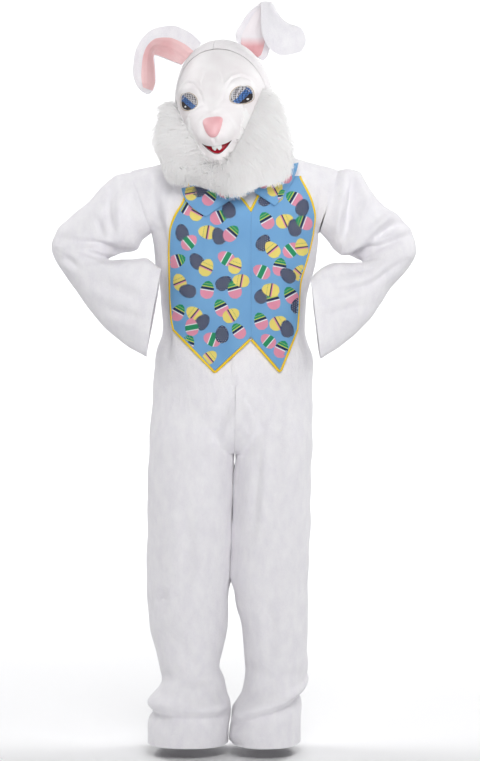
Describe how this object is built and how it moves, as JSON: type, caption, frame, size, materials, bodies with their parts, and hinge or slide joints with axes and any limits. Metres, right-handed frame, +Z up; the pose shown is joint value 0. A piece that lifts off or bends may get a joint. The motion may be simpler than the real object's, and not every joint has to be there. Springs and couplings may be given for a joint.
{
  "type": "rabbit mascot costume: jumpsuit, vest front, bow tie and mask head, as worn",
  "caption": "White plush rabbit costume as worn, arms akimbo, with a blue egg-print vest front and bow, and a long-eared mask with a furry beard.",
  "frame": {"origin": "between the shoulders at the height of the shoulder seams, where the wearer carries the jumpsuit", "axes": "+Z up, the costume's front faces -Y, +X is to the right in the picture"},
  "size_m": [0.91, 0.328, 1.8443],
  "materials": {
    "white_plush": "short-pile plush",
    "long_fur": "long-pile fur",
    "ear_lining": "satin",
    "printed_cotton": "printed cotton",
    "yellow_binding": "bias binding",
    "face_vinyl": "moulded, flocked",
    "eye_mesh": "printed mesh",
    "nose_vinyl": "painted",
    "mouth_red": "painted",
    "tooth_vinyl": "painted"
  },
  "bodies": {
    "root": {"suit_front_right": "white_plush", "suit_front_left": "white_plush", "suit_back_right": "white_plush", "suit_back_left": "white_plush", "sleeve_right": "white_plush", "sleeve_left": "white_plush", "placket": "white_plush", "hood_right": "white_plush", "hood_left": "white_plush", "ear_right": "white_plush", "ear_left": "white_plush", "beard": "long_fur", "ear_lining_right": "ear_lining", "ear_lining_left": "ear_lining", "vest_right": "printed_cotton", "vest_left": "printed_cotton", "bow_right": "printed_cotton", "bow_left": "printed_cotton", "bow_knot": "printed_cotton", "binding_right": "yellow_binding", "binding_left": "yellow_binding", "binding_neck": "yellow_binding", "mask_face": "face_vinyl", "eye_mesh_right": "eye_mesh", "eye_mesh_left": "eye_mesh", "nose": "nose_vinyl", "mouth_lining": "mouth_red", "teeth": "tooth_vinyl"}
  },
  "joints": []
}
